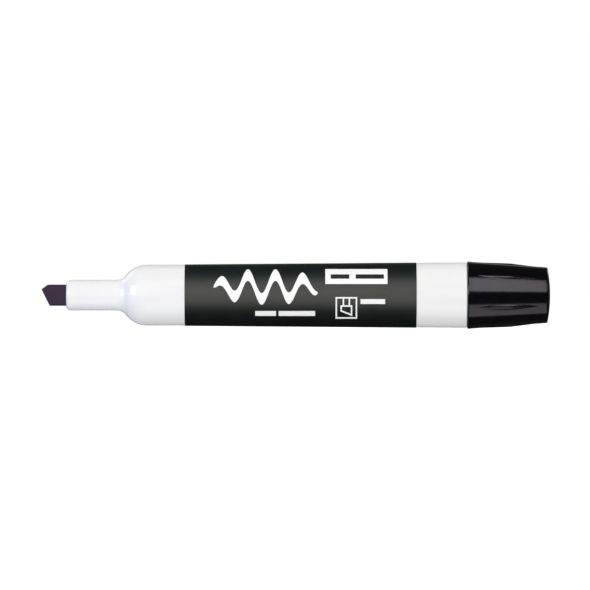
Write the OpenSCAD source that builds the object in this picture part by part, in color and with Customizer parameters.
// Whiteboard marker, lying on its side: nib towards -X, posted cap towards +X, label facing -Y.
// Inside the modules x runs along the marker from the nib's tip, and lay() sets it down on z = 0.

/* [Nib] */
// Height of the fibre bar, across its broad face
nib_height = 5.7; // [5.2:0.1:5.9]
// Thickness of the fibre bar
nib_thick = 3.3; // [2.8:0.1:3.6]
// Length of the nib that stands out of the neck
nib_exposed = 6.6; // [6:0.2:8]
// Whole length of the nib, shank included
nib_length = 36; // [34:1:40]
// Height of the writing point above the marker's axis
nib_point_up = 1.6; // [1:0.1:2]
// How far the cut runs back above the point
nib_toe = 1.7; // [1:0.1:2.4]
// How far the slanted writing edge runs back below the point
nib_heel = 2.2; // [1.6:0.1:3]

/* [Barrel] */
// Diameter of the neck
neck_d = 8.2; // [8:0.1:8.6]
// Length of the straight neck
neck_length = 13.5; // [12.5:0.5:14]
// Radius of the neck's rounded front lip
neck_lip = 1.2; // [0.6:0.1:1.3]
// Length of the S-shaped shoulder
shoulder_length = 8.2; // [8:0.1:9]
// Radius of the shoulder's outer, convex arc
shoulder_round = 6.9; // [6:0.1:7.2]
// Diameter of the straight collar behind the shoulder
collar_d = 16.4; // [16.2:0.1:16.8]
// Length of the collar, up to the label
collar_length = 10.3; // [8:0.1:12]
// Diameter of the barrel at its tail
tail_d = 17.6; // [17.4:0.1:17.8]
// Length of the tapered body
body_length = 76; // [72:1:80]

/* [Label] */
// Length of the wrap-round film
label_length = 62.4; // [50:0.2:66]
// Thickness of the film
film_thick = 0.1; // [0.08:0.01:0.14]
// Angle over which the film's ends overlap
overlap_angle = 18; // [8:1:30]
// Thickness of the printed ink
ink_thick = 0.04; // [0.03:0.01:0.06]

/* [Reservoir] */
// Diameter of the fibre core
core_d = 13.1; // [12:0.1:13.2]
// Length of the fibre core
core_length = 74; // [60:1:75]
// Thickness of the plastic wrap
wrap_thick = 0.15; // [0.1:0.01:0.18]

/* [End plug] */
// Length pressed into the barrel
press_length = 8; // [6:0.5:9]
// Length of the spigot that the cap posts on
spigot_length = 9; // [6:0.5:12]
// Inner diameter of the plug's socket
socket_d = 11.6; // [11.2:0.1:12]

/* [Cap] */
// Length of the cap
cap_length = 22.4; // [22:0.2:25]
// Diameter of the cap's rim
rim_d = 18.2; // [18:0.1:18.6]
// Diameter of the cap's closed end
cap_end_d = 14.9; // [14.6:0.1:15.4]
// Thickness of the cap's wall
cap_wall = 1.2; // [1.1:0.05:1.3]
// Number of leaf-shaped grip ribs
rib_count = 6; // [3:1:8]
// Turn of the first rib from the label's middle
rib_turn = 37; // [0:1:60]
// Width of a rib at its middle
rib_width = 1.5; // [1:0.1:2]
// How far inside the rim the liner's mouth lies
liner_depth = 3; // [2:0.5:4]

/* [Hidden] */
$fn = 96;

// Overlap of a cutting tool past the face that it cuts
past = 1;

// Places along the marker, from the nib's tip
neck_start = nib_exposed;
shoulder_start = neck_start + neck_length;
collar_start = shoulder_start + shoulder_length;
body_start = collar_start + collar_length;
body_end = body_start + body_length;
label_end = body_start + label_length;
cap_gap = 0.1;
rim_x = body_end + cap_gap;
cap_end_x = rim_x + cap_length;
marker_length = cap_end_x;

// Radii
neck_r = neck_d / 2;
collar_r = collar_d / 2;
tail_r = tail_d / 2;
rim_r = rim_d / 2;
cap_end_r = cap_end_d / 2;
core_r = core_d / 2;
socket_r = socket_d / 2;

// The shoulder is two arcs that meet smoothly: their radii add up to this sum
shoulder_rise = collar_r - neck_r;
arc_sum = (pow(shoulder_length, 2) + pow(shoulder_rise, 2)) / (2 * shoulder_rise);
fillet_r = arc_sum - shoulder_round;
meet_x = shoulder_start + fillet_r * shoulder_length / arc_sum;
meet_r = neck_r + fillet_r * shoulder_rise / arc_sum;

// Inside of the barrel
nib_fit = 0.02;
nib_edge = 0.4;
cavity_start = 21.5;
cavity_end = 27;
cavity_start_r = 3.2;
bore_front_r = 6.9;
bore_rear_r = 7.2;
press_r = 7.5;
press_start = body_end - press_length;
vent_width = 0.8;
vent_depth = 0.6;
vent_z = 1.3;
guide_count = 6;
guide_width = 0.8;
guide_clear = 0.05;
fin_start = 25;
fin_r = 4.6;
core_start = 30;
tail_edge = 0.25;

// End plug
plug_fit = 0.02;
post_clear = 0.12;
socket_floor_x = press_start + 1.6;
bead_at = 6.5;
bead_proud = 0.06;
bead_round = 0.5;

// Printed artwork, as places along the marker and heights above its axis
wave_from = 46.4;
wave_to = 74.4;
wave_pitch = 7.4;
wave_height = 3.2;
wave_middle = 2.2;
wave_pen = 3.1;
wave_steps = 90;
panel_at = [84.8, 5];
panel_size = [16.7, 4];
panel_slots = [[80.4, 5, 5, 1.2], [88.4, 5, 7.6, 1.2]];
ink_bars = [[60.4, -4.9, 5.6, 1.3], [68.8, -4.9, 9.8, 1.3], [89.2, -1.7, 6.6, 1.3]];
sign_at = [82.1, -3.4];
sign_side = 5.8;
sign_line = 0.4;
sign_tip = [[-1.4, -0.8], [1.4, -1.9], [1.4, 0.5], [-1.4, 0.5]];
sign_sides = [[[-0.8, 0.5], [-0.8, 2.6]], [[0.8, 0.5], [0.8, 2.6]]];

// Cap
end_wall = 1.4;
dome_rise = 0.65;
rim_edge = 0.3;
end_edge = 0.45;
cavity_floor_x = cap_end_x - end_wall;
rib_start = 2.6;
rib_peak = 11.5;
rib_end = 18.9;
rib_crest_drop = 0.27;

// Liner
liner_r = 5.2;
liner_bore_r = 4.4;
seal_r = neck_r + 0.03;
seal_length = 1;
seal_gap = 3;
liner_base = 1;
liner_x = rim_x + liner_depth;
liner_fit = 0.03;

// Radius of the barrel's tapered body, of the cap's outer cone and of its inner cone
function body_r(x) = collar_r + (tail_r - collar_r) * (x - body_start) / body_length;
function cap_r(x) = rim_r + (cap_end_r - rim_r) * (x - rim_x) / cap_length;
function cap_bore_r(x) = cap_r(x) - cap_wall;

module lay() {
    translate([-marker_length / 2, 0, rim_r]) children();
}

// Revolves an outline drawn as [radius, x] about the marker's axis
module turned() {
    rotate([0, 90, 0]) rotate_extrude() children();
}

// Outline of a plain disc or cylinder
module band(from, to, r) {
    translate([0, from]) square([r, to - from]);
}

// Outline of a cone
module taper(from, to, r_from, r_to) {
    polygon([[0, from], [r_from, from], [r_to, to], [0, to]]);
}

module rounded_rectangle(width, height, corner_r) {
    square([width - 2 * corner_r, height], center = true);
    square([width, height - 2 * corner_r], center = true);
    for (x = [-1, 1], y = [-1, 1])
        translate([x * (width / 2 - corner_r), y * (height / 2 - corner_r)]) circle(corner_r);
}

// A bar of the nib's section, grown by fit all round, between two places on the axis
module nib_bar(from, to, fit) {
    translate([from, 0, 0])
        rotate([90, 0, 90])
            linear_extrude(to - from)
                rounded_rectangle(nib_thick + 2 * fit, nib_height + 2 * fit, nib_edge + fit);
}

// ---- Barrel ----

module shoulder_outline() {
    difference() {
        union() {
            polygon([
                [0, shoulder_start], [neck_r, shoulder_start], [meet_r, meet_x], [0, collar_start]
            ]);
            intersection() {
                band(shoulder_start, collar_start, collar_r);
                translate([collar_r - shoulder_round, collar_start])
                    circle(shoulder_round, $fn = 180);
            }
        }
        translate([neck_r + fillet_r, shoulder_start]) circle(fillet_r, $fn = 180);
    }
}

module barrel_outline() {
    band(neck_start, neck_start + neck_lip, neck_r - neck_lip);
    translate([neck_r - neck_lip, neck_start + neck_lip]) circle(neck_lip);
    band(neck_start + neck_lip, shoulder_start, neck_r);
    shoulder_outline();
    band(collar_start, body_start, collar_r);
    taper(body_start, body_end - tail_edge, collar_r, body_r(body_end - tail_edge));
    taper(body_end - tail_edge, body_end, body_r(body_end - tail_edge), tail_r - tail_edge);
}

module bore_outline() {
    taper(cavity_start, cavity_end, cavity_start_r, bore_front_r);
    taper(cavity_end, press_start, bore_front_r, bore_rear_r);
    band(press_start, body_end + past, press_r);
}

// Grooves beside the nib that let air back in as the ink runs out
module vents() {
    for (side = [-1, 1], z = [-vent_z, vent_z])
        translate([neck_start - past, side * nib_thick / 2 - vent_depth, z - vent_width / 2])
            cube([cavity_start - neck_start + 2 * past, 2 * vent_depth, vent_width]);
}

// Long ribs that centre the reservoir, with fins at the front that it stops against
module guides() {
    guide_r = core_r + wrap_thick + guide_clear;
    for (i = [0 : guide_count - 1])
        rotate([360 * i / guide_count, 0, 0]) {
            translate([core_start - past, -guide_width / 2, guide_r])
                cube([press_start - core_start, guide_width, press_r - guide_r]);
            translate([fin_start, -guide_width / 2, fin_r])
                cube([core_start - fin_start, guide_width, bore_rear_r - fin_r]);
        }
}

module barrel() {
    color("whitesmoke") lay() {
        difference() {
            turned() barrel_outline();
            turned() bore_outline();
            nib_bar(neck_start - past, cavity_start + past, nib_fit);
            vents();
        }
        guides();
    }
}

// ---- Nib ----

module nib() {
    top = nib_height / 2;
    color([0.24, 0.18, 0.25]) lay()
        intersection() {
            nib_bar(0, nib_length, 0);
            rotate([90, 0, 0])
                linear_extrude(2 * nib_thick, center = true)
                    polygon([
                        [0, nib_point_up], [nib_toe, top], [nib_length, top],
                        [nib_length, -top], [nib_heel, -top]
                    ]);
        }
}

// ---- Reservoir ----

module reservoir_core() {
    color("dimgray") lay()
        difference() {
            turned() band(core_start, core_start + core_length, core_r);
            nib_bar(core_start - past, nib_length + nib_fit, nib_fit);
        }
}

module reservoir_film() {
    color("gainsboro") lay()
        turned()
            translate([core_r + wrap_thick / 10, core_start])
                square([wrap_thick * 0.9, core_length]);
}

// ---- End plug ----

module spigot_outline() {
    band(press_start, body_end, press_r - plug_fit);
    taper(
        body_end, body_end + spigot_length,
        cap_bore_r(body_end) - post_clear, cap_bore_r(body_end + spigot_length) - post_clear
    );
    bead_x = body_end + bead_at;
    translate([cap_bore_r(bead_x) - post_clear + bead_proud - bead_round, bead_x])
        circle(bead_round);
}

module end_plug() {
    color("white") lay()
        difference() {
            turned() spigot_outline();
            turned() band(socket_floor_x, body_end + spigot_length + past, socket_r);
        }
}

// ---- Label ----

// A skin on the label's cone, from one height above the barrel to another
module label_skin(low, high) {
    polygon([
        [body_r(body_start) + low, body_start], [body_r(body_start) + high, body_start],
        [body_r(label_end) + high, label_end], [body_r(label_end) + low, label_end]
    ]);
}

module label_film() {
    color([0.08, 0.09, 0.1]) lay() {
        turned() label_skin(0, film_thick);
        rotate([-90 - overlap_angle / 2, 0, 0])
            rotate([0, 90, 0])
                rotate_extrude(angle = overlap_angle) label_skin(film_thick, 1.5 * film_thick);
    }
}

// A bar of ink, as [x, z, length, height] from its centre
module ink_bar(bar) {
    translate([bar[0], bar[1]]) square([bar[2], bar[3]], center = true);
}

module ink_line(from, to, width) {
    run = to - from;
    translate(from)
        rotate(atan2(run[1], run[0]))
            translate([0, -width / 2]) square([norm(run), width]);
}

// One stroke of a broad pen held upright: a wave that is thick at its crests and thin on its slopes
function wave_grow(t) = min(1, 0.35 + 2.2 * t, 0.5 + 1.6 * (1 - t));
function wave_z(t) =
    wave_middle + wave_height * wave_grow(t) * sin(360 * (wave_to - wave_from) * t / wave_pitch);
function wave_half(t) = wave_pen / 2 * sqrt(min(1, 9 * t, 7 * (1 - t)));
function wave_point(t, side) =
    [wave_from + (wave_to - wave_from) * t, wave_z(t) + side * wave_half(t)];

module pen_wave() {
    polygon(concat(
        [for (i = [0 : wave_steps]) wave_point(i / wave_steps, 1)],
        [for (i = [wave_steps - 1 : -1 : 1]) wave_point(i / wave_steps, -1)]
    ));
}

// A white panel with two bars left open in it
module panel() {
    difference() {
        translate(panel_at) square(panel_size, center = true);
        for (slot = panel_slots) ink_bar(slot);
    }
}

// A chisel tip in a square frame
module tip_sign() {
    corners = len(sign_tip);
    translate(sign_at) {
        difference() {
            square(sign_side, center = true);
            square(sign_side - 2 * sign_line, center = true);
        }
        for (i = [0 : corners - 1])
            ink_line(sign_tip[i], sign_tip[(i + 1) % corners], sign_line);
        for (side = sign_sides)
            ink_line(side[0], side[1], sign_line);
    }
}

module artwork() {
    pen_wave();
    panel();
    tip_sign();
    for (bar = ink_bars) ink_bar(bar);
}

module label_print() {
    color("white") lay()
        intersection() {
            turned() label_skin(film_thick, film_thick + ink_thick);
            rotate([90, 0, 0]) linear_extrude(tail_d) artwork();
        }
}

// ---- Cap ----

module cap_outline() {
    dome_r = (pow(cap_end_r, 2) + pow(dome_rise, 2)) / (2 * dome_rise);
    edge_x = cap_end_x - dome_rise - end_edge;
    intersection() {
        polygon([
            [0, rim_x], [rim_r - rim_edge, rim_x], [rim_r, rim_x + rim_edge],
            [cap_r(edge_x), edge_x], [cap_r(cap_end_x) - 2 * end_edge, cap_end_x], [0, cap_end_x]
        ]);
        translate([0, cap_end_x - dome_r]) circle(dome_r, $fn = 360);
    }
}

// The crest of the ribs stays nearly level, then runs down to the cone
module rib_envelope() {
    polygon([
        [0, rim_x + rib_start], [cap_r(rim_x + rib_start), rim_x + rib_start],
        [cap_r(rim_x + rib_start) - rib_crest_drop, rim_x + rib_peak],
        [cap_r(rim_x + rib_end), rim_x + rib_end], [0, rim_x + rib_end]
    ]);
}

// A leaf, as two arcs that cross at its tips, centred on the origin
module leaf(length, width) {
    arc_r = (pow(length, 2) + pow(width, 2)) / (4 * width);
    intersection_for(side = [-1, 1])
        translate([0, side * (arc_r - width / 2)]) circle(arc_r, $fn = 360);
}

module grip_ribs() {
    rib_length = rib_end - rib_start;
    rib_root = cap_bore_r(rim_x + rib_end);
    intersection() {
        turned() rib_envelope();
        for (i = [0 : rib_count - 1])
            rotate([90 - rib_turn - 360 * i / rib_count, 0, 0])
                translate([rim_x + (rib_start + rib_end) / 2, 0, rib_root])
                    linear_extrude(rim_r - rib_root) leaf(rib_length, rib_width);
    }
}

module cap_shell() {
    color([0.06, 0.06, 0.07]) lay()
        difference() {
            union() {
                turned() cap_outline();
                grip_ribs();
            }
            turned()
                taper(
                    rim_x - past, cavity_floor_x,
                    cap_bore_r(rim_x - past), cap_bore_r(cavity_floor_x)
                );
        }
}

// Soft sleeve that seals on the neck with two inner rings
module cap_liner() {
    base_x = cavity_floor_x - liner_base;
    color("lightgray") lay() {
        turned()
            taper(
                base_x, cavity_floor_x,
                cap_bore_r(base_x) - liner_fit, cap_bore_r(cavity_floor_x) - liner_fit
            );
        difference() {
            turned() band(liner_x, base_x + past / 2, liner_r);
            turned() band(liner_x - past, base_x, liner_bore_r);
        }
        for (i = [0, 1])
            turned()
                translate([seal_r, liner_x + seal_gap * i])
                    square([liner_bore_r - seal_r + past / 4, seal_length]);
    }
}

barrel();
nib();
reservoir_core();
reservoir_film();
end_plug();
label_film();
label_print();
cap_shell();
cap_liner();
